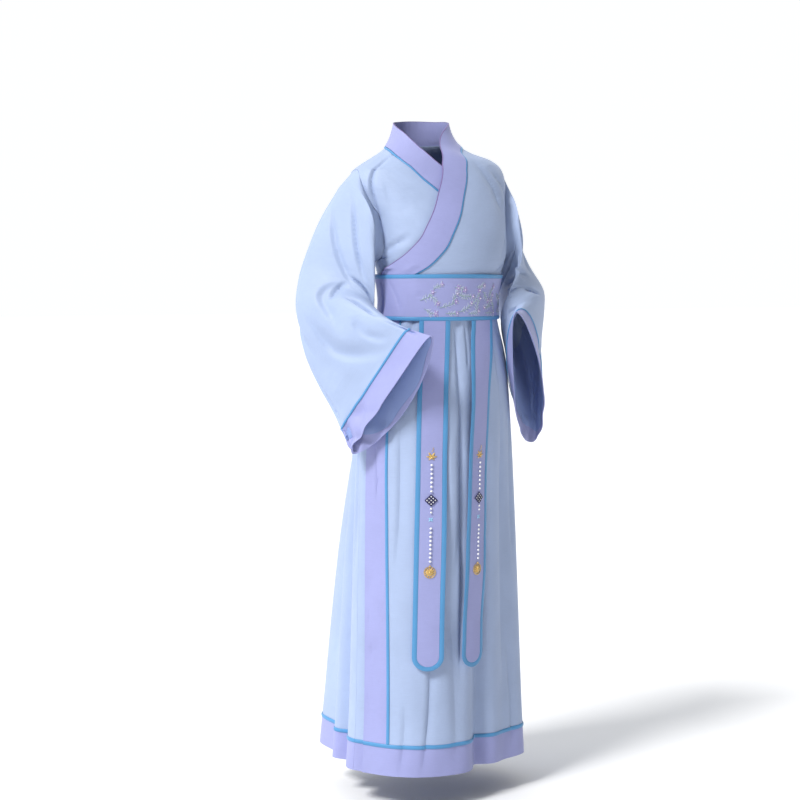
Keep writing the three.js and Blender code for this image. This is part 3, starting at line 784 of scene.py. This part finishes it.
def collar():
    last = len(COLLAR_ROWS) - 1
    whole = (0, last, 300)
    face = COLLAR_GAP + BAND_CLOTH
    crown = face + 0.5 * arch(10)
    band = collar_strip(
        "collar_band_cloth", BAND_FABRIC, ["collar_band"], whole, np.linspace(0, 1, 10), crown,
        crown - BAND_CLOTH,
    )
    under = collar_piping("collar_piping_under", 0, BACK_STATION - 0.02, 160)
    over = collar_piping("collar_piping_over", BACK_STATION + 0.02, last, 160)
    rim = face + np.array([0.1, 0.5, 0.5, -0.6])
    edge = collar_strip("collar_edge", MAUVE_EDGE, [], whole, [0.975, 0.985, 1.0, 1.012], rim, rim - 0.5)
    return band, [under, over, edge]


collar_band, collar_trim = collar()

# Skirt

HEM_SEAM_Z = HEM_Z + HEM_BAND
TAPE_CROWN = TAPE_LIFT + 0.6 + 1.2 * arch(6)
SKIRT_HEIGHTS = np.concatenate([
    np.linspace(WAIST_Z - SEAM / 2, -500, 40),
    np.linspace(-512, HEM_SEAM_Z + SEAM / 2, 62),
])


def skirt_lift(q):
    return OVERLAP_LIFT * smooth((SIDE_SEAM - q) / SKIRT_OVERLAP_EASE)


def skirt_strip(name, finish, node, heights, columns, span, lifted, outer, inner):
    """A strip of the skirt between two hem angles; outer may be a distance for each row."""
    z, q = grid(heights, np.linspace(*span, columns))
    raised = skirt_lift(q) if lifted else 0 * q
    return wall(name, finish, [node], on_skirt, q, z, raised + np.reshape(outer, (-1, 1)), raised + inner)


def skirt_panel(name, start, end, columns, lifted):
    span = (start + SEAM_DEGREES, end - SEAM_DEGREES)
    return skirt_strip(f"{name}_cloth", PALE_CLOTH, name, SKIRT_HEIGHTS, columns, span, lifted, 0, -CLOTH)


def hem(side, start, end, columns, lifted):
    span = (start + SEAM_DEGREES, end - SEAM_DEGREES)
    rows = np.linspace(HEM_SEAM_Z - SEAM / 2, HEM_Z, 9)
    band = skirt_strip(
        f"hem_{side}_cloth", BAND_FABRIC, f"hem_{side}", rows, columns, span, lifted, 0, -BAND_CLOTH
    )
    rows = np.linspace(HEM_SEAM_Z + HEM_TAPE / 2, HEM_SEAM_Z - HEM_TAPE / 2, 6)
    tape = skirt_strip(
        f"hem_{side}_tape", BINDING, f"hem_piping_{side}", rows, columns, span, lifted, TAPE_CROWN, TAPE_LIFT
    )
    return band, tape


def front_band():
    """The band along the over panel's edge, and the piping on its seam."""
    span = (BAND_FREE, BAND_SEAM - SEAM_DEGREES)
    band = skirt_strip("front_band_cloth", BAND_FABRIC, "front_band", SKIRT_HEIGHTS, 26, span, True, 0, -CLOTH)
    low = HEM_SEAM_Z + HEM_TAPE / 2 + SEAM
    half = FRONT_TAPE / 2 / HEM_MM_PER_DEGREE
    z, q = grid(
        np.append(SKIRT_HEIGHTS[SKIRT_HEIGHTS > low], low), np.linspace(BAND_SEAM - half, BAND_SEAM + half, 6)
    )
    crown = skirt_lift(q) + TAPE_CROWN
    under = skirt_lift(q) + TAPE_LIFT
    return band, wall("front_band_tape", BINDING, ["front_band_piping"], on_skirt, q, z, crown, under)


skirt_over = skirt_panel("skirt_over", BAND_SEAM, SIDE_SEAM, 190, True)
skirt_under = skirt_panel("skirt_under", -SIDE_SEAM, UNDER_REACH, 90, False)
skirt_back = skirt_panel("skirt_back", SIDE_SEAM, 360 - SIDE_SEAM, 330, False)
front_strip, front_tape = front_band()
hem_over, hem_over_tape = hem("over", BAND_FREE, SIDE_SEAM, 216, True)
hem_under, hem_under_tape = hem("under", -SIDE_SEAM, UNDER_REACH, 90, False)
hem_back, hem_back_tape = hem("back", SIDE_SEAM, 360 - SIDE_SEAM, 330, False)

# Sleeves

RING = 168
RING_TURNS = 180 + np.arange(RING) * 360 / RING

# The cuffs' linings, whose darker blue is painted shade of the sleeves' insides: the strip left bare at the
# edge, wider about the lowest turn, and the lining's thickness
LOW_TURN = 190
LOW_REACH = 70
LOW_EASE = 60
FACING = 7
FACING_MORE = 26
FACING_UNEVEN = 2.5
LINING_WALL = 0.8

# The cuffs' crumpling: how far round it goes and its easing, in degrees
PUCKER_REACH = 95
PUCKER_EASE = 45


def armhole_ring(side, inset, distance):
    turn = np.radians(RING_TURNS)
    across = np.sign(np.sin(turn)) * np.abs(np.sin(turn)) ** ARMHOLE_SQUARE
    angle = 90 + (ARMHOLE_WIDE - inset / 2.6) * across
    z = ARMHOLE_MIDDLE + (ARMHOLE_HALF - inset) * np.cos(turn)
    raised = lift(angle, z) if side > 0 else 0 * z
    return on_body(side * angle, z, distance + raised)


def sleeve(name, table, side, creases, puckered, crumple, shade_lining_reach):
    """A sleeve with its cuff, crumpled by some mm about the turn puckered, with a lining whose darker blue
    paints the shade inside the sleeve, reaching some mm past the band.

    A place on it is a turn in degrees, and hundredths of a row of its table along.
    """
    rows = np.asarray(table, float)
    end = 100 * (len(rows) - 1)
    span = sum(np.linalg.norm(rows[-1, n] - rows[-2, n]) for n in (0, 2)) / 200
    cuff_start = end - CUFF_BAND / span

    def plain(turn, place):
        top, out, low, inner = (
            np.stack([curve(np.arange(len(rows)), rows[:, n, axis], place / 100) for axis in range(3)], axis=-1)
            for n in range(4)
        )
        t = np.radians(turn)[..., None]
        uneven = (top + low - out - inner) / 4
        middle = (top + out + low + inner) / 4
        return middle + (top - low) * np.cos(t) / 2 + (out - inner) * np.sin(t) / 2 + uneven * np.cos(2 * t)

    def creased(turn, place):
        fade = smooth(place / 40) * smooth((end - place) / 60 + 0.35)
        depth = crease_depth(creases, turn, place * span, SLEEVE_MM_PER_DEGREE) * fade
        near = smooth((PUCKER_REACH - np.abs(wrapped(turn - puckered))) / PUCKER_EASE)
        pucker = smooth((place - cuff_start + 20) / 50) * near
        drift = 50 * np.sin(np.radians(place * 2.3))
        wave = np.abs(np.sin(np.radians(turn * 5 + drift))) + 0.35 * np.sin(np.radians(turn * 13 - 2 * drift))
        return outward(plain, turn, place, -side * (depth + crumple * pucker * (wave - 1.5)))

    def skin(turn, place, distance):
        return outward(creased, turn, place, -side * np.asarray(distance))

    def band(start, stop, count):
        place, turn = grid(np.linspace(start, stop, count), RING_TURNS)
        return turn, np.clip(place, 1.1, end - 1.1)

    def tube(inset, distance):
        start = armhole_ring(side, 0.5 + inset, distance - 0.3)
        body = skin(*band(0, cuff_start - 5 * SEAM / span, 110), distance)
        joins = [mix(start, body[0], share) for share in (0, 0.25, 0.5, 0.75)]
        return np.concatenate([np.stack(joins), body])

    cloth = shell(f"sleeve_{name}_cloth", tube(0, 0), tube(CLOTH, -CLOTH), ring=True)
    finish_piece(cloth, PALE_CLOTH, f"sleeve_{name}")
    cuff = wall(
        f"cuff_{name}_cloth", BAND_FABRIC, [f"cuff_{name}"], skin, *band(cuff_start, end, 14), 0, -BAND_CLOTH,
        ring=True,
    )
    half = CUFF_TAPE / span / 2
    tape = wall(
        f"cuff_{name}_tape", BINDING, [f"cuff_piping_{name}"], skin,
        *band(cuff_start - half, cuff_start + half, 6), TAPE_CROWN[:, None], TAPE_LIFT, ring=True,
    )

    # A lining sheet inside the cuff, its darker blue painted shade of the sleeve's inside
    share, turn = grid(np.linspace(0, 1, 24), RING_TURNS)
    low_end = smooth((LOW_REACH - np.abs(wrapped(turn - LOW_TURN))) / LOW_EASE)
    facing = FACING + FACING_MORE * low_end + FACING_UNEVEN * np.sin(np.radians(turn * 7))
    place = mix(cuff_start - shade_lining_reach / span, end - facing / span, share)
    depth = -BAND_CLOTH - 0.4 - 0.5 * share
    shade_lining = wall(
        f"cuff_{name}_lining", SHADE_LINING_CLOTH, [], skin, turn, place, depth, depth - LINING_WALL, ring=True
    )
    return cloth, cuff, [tape, shade_lining]


# How far each lining, darker blue as painted shade, reaches in past the band
sleeve_right, cuff_right, cuff_trim_right = sleeve(
    "right", RIGHT_SLEEVE, -1, RIGHT_CREASES, puckered=180, crumple=6.5, shade_lining_reach=25
)
sleeve_left, cuff_left, cuff_trim_left = sleeve(
    "left", LEFT_SLEEVE, 1, LEFT_CREASES, puckered=150, crumple=3, shade_lining_reach=170
)

# Belt


def belt_place(angle, z, distance):
    over = smooth((BELT_OVERLAP_END - np.abs(angle)) / BELT_OVERLAP_EASE)
    clearance = BELT_CLEARANCE + (OVERLAP_LIFT + BELT_OVERLAP_SPARE) * over
    inside = smooth((BELT_TOP - BELT_BINDING - z) / 8) * smooth((z - BELT_BOTTOM - BELT_BINDING) / 8)
    crease = crease_depth(BELT_CREASES, angle, z, BODICE_MM_PER_DEGREE) * inside
    return outward(body_point, angle, z, clearance + crease + distance)


def belt_strip(name, finish, node, top, low, rows, outer):
    z, angle = grid(np.linspace(top, low, rows), np.linspace(-180 + SEAM_DEGREES, 180 - SEAM_DEGREES, 300))
    return wall(name, finish, [node], belt_place, angle, z, np.reshape(outer, (-1, 1)), 0)


BINDING_CROWN = BAND_CLOTH + 0.2 + 0.7 * arch(7)
BELT_LOW_SEAM = BELT_BOTTOM + BELT_BINDING
belt = belt_strip(
    "belt_cloth", BAND_FABRIC, "belt", BELT_TOP - BELT_BINDING - SEAM, BELT_LOW_SEAM + SEAM, 28, BAND_CLOTH
)
belt_trim = [
    belt_strip(f"belt_{edge}_tape", BINDING, f"belt_{edge}", top, top - BELT_BINDING, 7, BINDING_CROWN)
    for edge, top in (("binding_top", BELT_TOP), ("binding_low", BELT_LOW_SEAM))
]

# Ribbons


def ribbon_stand_off(angle, z):
    share = clamp((WAIST_Z - z) / (WAIST_Z - HEM_Z))
    highest = np.full(np.shape(z), 0.8)
    for away in (-13, -6.5, 0, 6.5, 13):
        q = angle + away
        for _ in range(6):
            q = angle + away - DRIFT * np.sin(np.radians(q)) * (1 - share) ** 1.5
        highest = np.maximum(highest, fold_depth(q, z))
    return OVERLAP_LIFT + RIBBON_LIFT + highest


def ribbon_point(ribbon, across, z, distance):
    half = section(2, z)
    reach = (section(4, z) - section(3, z)) / 2
    x = curve(column(ribbon["line"], 0), column(ribbon["line"], 1), z) - section(1, z)
    middle = np.arcsin(x / half)
    per_degree = np.radians(np.hypot(half * np.cos(middle), reach * np.sin(middle)))
    angle = np.degrees(middle)
    turned = -ribbon["turned"] * across * smooth((-400 - z) / 150)
    sway = 1.6 * np.sin((z + across * 0.6) / 46) * smooth((-430 - z) / 200)
    height = distance + turned + sway + ribbon_stand_off(angle, z)
    return outward(body_point, angle + across / per_degree, z, height)


def on_ribbon(place):
    """A ribbon's surface: across from its middle line, the height, and the distance outwards."""
    return lambda across, z, distance: ribbon_point(place, across, z, distance)


def ribbon(name, place):
    radius = RIBBON_WIDTH / 2
    top = BELT_BOTTOM - SEAM
    arc_z = RIBBON_END_Z + radius
    straight = np.linspace(top, arc_z, 90)
    arc = np.radians(np.linspace(-90, 90, 41))[1:-1]

    def outline(inset):
        """The ribbon's edge, down one side, round its end and up the other, at an inset from the true edge."""
        r = radius - inset
        x = np.concatenate([np.full(90, -r), r * np.sin(arc), np.full(90, r)])
        z = np.concatenate([straight, arc_z - r * np.cos(arc), straight[::-1]])
        return x, z

    x, z = np.stack([outline(inset) for inset in np.linspace(0, RIBBON_BINDING, 7)], axis=-1)
    crown = 0.2 + 0.8 * arch(7)
    binding = wall(
        f"ribbon_{name}_tape", BINDING, [f"ribbon_binding_{name}"], on_ribbon(place), x, z, crown, -1.3
    )
    x, z = outline(RIBBON_BINDING + SEAM)
    rows = 90 + len(arc) // 2
    x = mix(x[:rows, None], x[::-1][:rows, None], np.linspace(0, 1, 15)[None, :])
    z = z[:rows, None] + 0 * x
    field = wall(f"ribbon_{name}_cloth", BAND_FABRIC, [f"ribbon_{name}"], on_ribbon(place), x, z, 0, -CLOTH)
    return field, binding


ribbon_right, ribbon_right_tape = ribbon("right", RIGHT_RIBBON)
ribbon_left, ribbon_left_tape = ribbon("left", LEFT_RIBBON)

# Embroidery and beads, drawn on a flat plan as across, up and height, then laid on the cloth


def loops(sides, count, first=0):
    """Faces between closed loops of points that follow one another."""
    faces = []
    for level in range(first, first + (count - 1) * sides, sides):
        for k in range(sides):
            m = (k + 1) % sides
            faces.append([level + k, level + m, level + sides + m, level + sides + k])
    return faces


class Plan:
    """Small raised forms on a flat plan."""

    def __init__(self):
        self.points = []
        self.faces = []

    def add(self, points, faces):
        start = len(self.points)
        self.points.extend(points)
        self.faces.extend([[start + n for n in face] for face in faces])

    def pad(self, x, y, length, width, turn, height=0.9, sides=10):
        """A pointed leaf or petal, domed, from its root at x, y."""
        turn = math.radians(turn)
        points = []
        for scale, rise in ((1, 0), (0.95, 0.5 * height), (0.55, height)):
            for n in range(sides):
                t = 2 * math.pi * n / sides
                along = 0.5 * length * (1 - scale * math.cos(t))
                off = 0.5 * width * scale * math.sin(t) * (0.75 + 0.25 * math.cos(t))
                points.append((
                    x + along * math.cos(turn) - off * math.sin(turn),
                    y + along * math.sin(turn) + off * math.cos(turn),
                    rise,
                ))
        self.add(points, [list(range(sides))[::-1], list(range(2 * sides, 3 * sides)), *loops(sides, 3)])

    def cord(self, path, radius=0.5, sides=5):
        """A round cord along points of across, up and height."""
        path = np.asarray(path, float)
        ahead = np.gradient(path, axis=0)
        ahead = ahead / np.linalg.norm(ahead, axis=1, keepdims=True)
        beside = np.stack([-ahead[:, 1], ahead[:, 0], 0 * ahead[:, 0]], axis=1)
        beside = beside / np.linalg.norm(beside, axis=1, keepdims=True)
        above = np.cross(ahead, beside)
        points = []
        for n in range(len(path)):
            for k in range(sides):
                t = 2 * math.pi * k / sides
                points.append(tuple(path[n] + radius * (beside[n] * math.cos(t) + above[n] * math.sin(t))))
        faces = [list(range(sides)), list(range(len(points) - sides, len(points)))[::-1]]
        self.add(points, faces + [face[::-1] for face in loops(sides, len(path))])

    def bead(self, x, y, radius, rings=6, sides=10):
        """A round bead that rests on the cloth."""
        points = [(x, y, 0)]
        for i in range(1, rings):
            t = math.pi * i / rings
            for k in range(sides):
                a = 2 * math.pi * k / sides
                r = radius * math.sin(t)
                points.append((x + r * math.cos(a), y + r * math.sin(a), radius - radius * math.cos(t)))
        points.append((x, y, 2 * radius))
        faces = [[0, 1 + (k + 1) % sides, 1 + k] for k in range(sides)] + loops(sides, rings - 1, 1)
        top = len(points) - 1
        low = top - sides
        faces.extend([[low + k, low + (k + 1) % sides, top] for k in range(sides)])
        self.add(points, faces)

    def flower(self, x, y, radius, petals, turn):
        for n in range(petals):
            self.pad(x, y, radius, 0.75 * radius, turn + 360 * n / petals)

    def lay(self, name, material, place):
        """The plan as an object on the cloth; place(x, y, height) gives millimetre points."""
        flat = np.asarray(self.points, float)
        points = place(flat[:, 0], flat[:, 1], flat[:, 2] + 0.15)
        return finish_piece(make_object(name, points, self.faces), (material, "embroidery"))


GOLD_SPRIG_Z = -642
KNOT_Z = -730
KNOT_REACH = 11.5
ROSETTE_Z = -880

# The ribbons' strings of beads: height of the first, step down, count and radius
BEAD_STRINGS = [(-657, 9, 7, 2.5), (-747, 8, 2, 2.2), (-788, 8.6, 9, 2.5)]

# The belt's sprigs: angle and height of the root, length in mm and lean in degrees
SPRIGS = [
    (-42, -318, 40, 8), (-34, -306, 34, -24), (-24, -334, 46, 22), (-12, -322, 40, 66), (-6, -342, 44, 12),
    (-4, -306, 36, -30), (8, -330, 48, 40), (14, -344, 40, 84), (20, -300, 34, -18), (26, -336, 46, 28),
    (30, -318, 40, 70), (40, -344, 36, 100), (44, -304, 34, -36), (52, -330, 40, 58), (60, -312, 30, -60),
    (2, -316, 30, 150), (36, -330, 34, 200), (-38, -336, 34, -20), (-18, -346, 30, -5), (4, -348, 34, -8),
    (24, -346, 40, -10), (46, -344, 30, 12), (-30, -296, 26, 30), (-10, -292, 28, 16), (12, -290, 26, -20),
]
SPRIG_TOP = -284
SPRIG_LOW = -346


def ribbon_ornament(name, place):
    """A hanging string of ornament: gold sprig, beads, lattice knot, beads, small flower, beads and rosette."""
    gold = Plan()
    for turn, length, width in ((62, 12, 6), (118, 12, 6), (12, 11, 5), (168, 11, 5), (-42, 8, 4), (222, 8, 4)):
        gold.pad(0, GOLD_SPRIG_Z, length, width, turn, 1.6)
    gold.bead(0, GOLD_SPRIG_Z, 2.2)
    gold.cord([(3 * math.sin(t), -630 + 4 * t, 1.2) for t in np.linspace(0, 2.2, 9)], 0.6)
    for petals, radius, width, rise in ((12, 11, 5.5, 1.0), (8, 8, 5, 2.2), (6, 5, 3.6, 3.2)):
        for n in range(petals):
            gold.pad(0, ROSETTE_Z, radius, width, 360 * n / petals + radius * 3, rise)
    rim = np.radians(np.linspace(0, 360, 40))
    gold.cord([(10.5 * math.cos(t), ROSETTE_Z + 11.5 * math.sin(t), 0.8) for t in rim], 0.9)
    gold.bead(0, ROSETTE_Z, 2.4)
    gold.bead(0, ROSETTE_Z + 13.5, 2.0)
    beads = Plan()
    for top, step, count, radius in BEAD_STRINGS:
        for n in range(count):
            beads.bead(0, top - step * n, radius)
    knot = Plan()
    step = 2 * KNOT_REACH / 3
    for n in (-1.5, -0.5, 0.5, 1.5):
        for lean in (1, -1):
            path = []
            for t in np.linspace(-1, 1, 17):
                over = 1.3 + 0.6 * math.cos(math.pi * (1.5 * t + n + (lean > 0)))
                along = t * KNOT_REACH
                off = n * step
                path.append(((along + off) * 0.5 * lean, KNOT_Z + (along - off) * 0.5, over))
            knot.cord(path, 1.05)
    for across in (-1, 0, 1):
        for down in (-1, 0, 1):
            beads.bead((across + down) * step / 2, KNOT_Z + (across - down) * step / 2, 1.5, 4, 8)
    sky = Plan()
    sky.flower(0, -770, 5.5, 4, 45)
    return [
        gold.lay(f"{name}_gold_motifs", gold_thread, on_ribbon(place)),
        beads.lay(f"{name}_beads", pearl, on_ribbon(place)),
        knot.lay(f"{name}_knot", navy_cord, on_ribbon(place)),
        sky.lay(f"{name}_small_flower", sky_thread, on_ribbon(place)),
    ]


def belt_embroidery():
    """Ordinary sprigs scattered on the belt's front: bent stems, leaves and small blossoms."""
    rng = np.random.default_rng(7)
    stems = Plan()
    leaves = Plan()
    blooms = Plan()
    hearts = Plan()
    for angle, y, length, turn in SPRIGS:
        x = angle * BODICE_MM_PER_DEGREE
        path = []
        for n in range(11):
            path.append((x, y, 0.4))
            turn += rng.uniform(-15, 15)
            x += length / 11 * math.cos(math.radians(turn))
            y += length / 11 * math.sin(math.radians(turn)) * 0.8
            y = min(SPRIG_TOP, max(SPRIG_LOW, y))
            if n > 0:
                side = 52 if n % 2 else -52
                leaves.pad(x, y, rng.uniform(7, 11), 3.6, turn + side + rng.uniform(-14, 14), 0.7)
        stems.cord(path, 0.7)
        blooms.flower(x, y, rng.uniform(5.5, 8), 5, rng.uniform(0, 72))
        hearts.bead(x, y, 1.3)

    def place(x, y, height):
        return belt_place(x / BODICE_MM_PER_DEGREE, y, BAND_CLOTH + height)

    return [
        stems.lay("belt_stems", green_thread, place),
        leaves.lay("belt_leaves", silver_thread, place),
        blooms.lay("belt_blossoms", lilac_thread, place),
        hearts.lay("belt_blossom_hearts", pearl, place),
    ]


right_ornament = ribbon_ornament("right_ribbon", RIGHT_RIBBON)
left_ornament = ribbon_ornament("left_ribbon", LEFT_RIBBON)
belt_sprigs = belt_embroidery()

# Stage, light and camera

FLOOR_REACH = 40000


def pale_floor():
    """A wide, flat, pale floor."""
    material, shader = new_material("studio_paper", FLOOR_COLOUR, 0.9)
    grain = set_inputs(material.node_tree.nodes.new("ShaderNodeTexNoise"), {"Scale": 40})
    raise_by(material, shader, grain.outputs["Fac"], 0.05, 0.001)
    corners = [(FLOOR_REACH * x, FLOOR_REACH * y, FLOOR_Z) for x, y in ((-1, -1), (1, -1), (1, 1), (-1, 1))]
    floor = make_object("studio_floor", corners, [[0, 1, 2, 3]])
    floor.data.materials.append(material)


def soft_sun(name, azimuth, elevation, strength, spread, colour):
    """A wide soft light from one side; azimuth 0 is the front and plus is the wearer's left."""
    data = bpy.data.lights.new(name, "SUN")
    data.energy = strength
    data.angle = math.radians(spread)
    data.color = colour
    sun = add_object(name, data)
    sun.rotation_euler = (math.radians(90 - elevation), 0, math.radians(azimuth))


# The studio's surround: bright behind the dress and on its right, dimmer in front and on its left
BRIGHT_SIDE = (-0.27, 0.93, 0.25)
SURROUND = {"From Min": -0.5, "From Max": 0.38, "To Min": 0.26, "To Max": 1.45}


def studio_world():
    world = bpy.data.worlds.new("studio")
    world.use_nodes = True
    nodes = world.node_tree.nodes
    link = world.node_tree.links.new
    place = nodes.new("ShaderNodeTexCoord")
    facing = nodes.new("ShaderNodeVectorMath")
    facing.operation = "DOT_PRODUCT"
    facing.inputs[1].default_value = BRIGHT_SIDE
    strength = nodes.new("ShaderNodeMapRange")
    strength.interpolation_type = "SMOOTHSTEP"
    set_inputs(strength, SURROUND)
    link(place.outputs["Generated"], facing.inputs[0])
    link(facing.outputs["Value"], strength.inputs["Value"])
    link(strength.outputs["Result"], nodes["Background"].inputs["Strength"])
    nodes["Background"].inputs["Color"].default_value = (0.97, 0.985, 1.0, 1)
    bpy.context.scene.world = world


CAMERA_AZIMUTH = -30
CAMERA_DISTANCE = 4.3
CAMERA_Z = -0.25
FOCAL_PX = 2009
FRAME_PX = 800
SENSOR_MM = 36
AXIS_PX = (425, 267)


def make_camera():
    """The photograph's view: level axis at the given pixel, taken up by a small turn and tilt."""
    data = bpy.data.cameras.new("photo_view")
    data.sensor_width = SENSOR_MM
    data.sensor_fit = "HORIZONTAL"
    yaw = math.atan((AXIS_PX[0] - FRAME_PX / 2) / FOCAL_PX)
    pitch = math.atan((FRAME_PX / 2 - AXIS_PX[1]) / FOCAL_PX)
    data.lens = SENSOR_MM * FOCAL_PX / FRAME_PX
    camera = add_object("photo_view", data)
    turn = math.radians(CAMERA_AZIMUTH)
    camera.location = (CAMERA_DISTANCE * math.sin(turn), -CAMERA_DISTANCE * math.cos(turn), CAMERA_Z)
    camera.rotation_euler = (math.pi / 2 - pitch, 0, turn + yaw)
    bpy.context.scene.camera = camera


pale_floor()
soft_sun("key", azimuth=-68, elevation=44, strength=4.3, spread=14, colour=(1.0, 0.99, 0.97))
studio_world()
bpy.context.scene.view_settings.view_transform = "Standard"
bpy.context.scene.view_settings.exposure = -0.5
make_camera()
